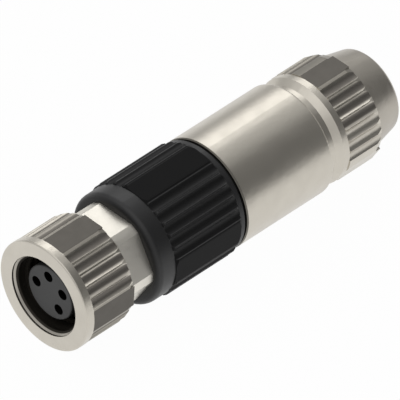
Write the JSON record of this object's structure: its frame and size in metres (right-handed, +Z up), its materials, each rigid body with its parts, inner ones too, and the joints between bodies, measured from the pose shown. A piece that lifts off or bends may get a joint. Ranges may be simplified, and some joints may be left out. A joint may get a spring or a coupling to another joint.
{
  "type": "circular sensor connector",
  "caption": "Round field-wired sensor socket with a nickel-plated screw coupling nut, spanner hexagon, black fluted grip, smooth sleeve and cable gland.",
  "frame": {"origin": "centre of the mouth on the connector's axis, in the plane of the coupling nut's front face", "axes": "+X along the axis towards the cable, +Z up, with one of the grip's flats facing straight down"},
  "size_m": [0.0416, 0.0116, 0.0116],
  "materials": {
    "nickel": "polished nickel plating",
    "spring_steel": "plain",
    "gold_contact": "gold plated",
    "terminal_steel": "zinc plated",
    "insert_plastic": "satin",
    "grip_plastic": "satin",
    "cage_plastic": "satin",
    "seal_rubber": "matt",
    "shield_brass": "turned"
  },
  "bodies": {
    "core": {"front_shell": "nickel", "grip_ring": "grip_plastic", "contact_carrier": "insert_plastic", "carrier_o_ring": "seal_rubber", "snap_ring": "spring_steel", "face_seal": "seal_rubber", "socket_contact_1": "gold_contact", "socket_contact_2": "gold_contact", "socket_contact_3": "gold_contact", "socket_contact_4": "gold_contact", "terminal_screw_1": "terminal_steel", "terminal_screw_2": "terminal_steel", "terminal_screw_3": "terminal_steel", "terminal_screw_4": "terminal_steel"},
    "coupling_nut": {"union_nut": "nickel"},
    "sleeve_carrier": {"sleeve_seal": "seal_rubber"},
    "sleeve": {"rear_sleeve": "nickel", "shield_ring": "shield_brass"},
    "clamp": {"clamp_cage": "cage_plastic", "cable_seal": "seal_rubber"},
    "gland": {"gland_nut": "nickel"}
  },
  "joints": [
    {"name": "coupling_nut_turn", "type": "hinge", "parent": "core", "child": "coupling_nut", "pos_m": [0.0057, 0, 0], "axis": [1, 0, 0], "continuous": true},
    {"name": "sleeve_travel", "type": "slide", "parent": "core", "child": "sleeve_carrier", "axis": [1, 0, 0], "range_m": [0, 0.004]},
    {"name": "sleeve_turn", "type": "hinge", "parent": "sleeve_carrier", "child": "sleeve", "pos_m": [0.0204, 0, 0], "axis": [1, 0, 0], "range_deg": [0, 2880]},
    {"name": "clamp_travel", "type": "slide", "parent": "sleeve", "child": "clamp", "axis": [1, 0, 0], "range_m": [0, 0.003]},
    {"name": "gland_turn", "type": "hinge", "parent": "clamp", "child": "gland", "pos_m": [0.0321, 0, 0], "axis": [1, 0, 0], "range_deg": [0, 2160]}
  ],
  "couplings": [
    {"joint": "sleeve_turn", "follows": "sleeve_travel", "rad_per_m": 12566},
    {"joint": "gland_turn", "follows": "clamp_travel", "rad_per_m": 12566}
  ]
}
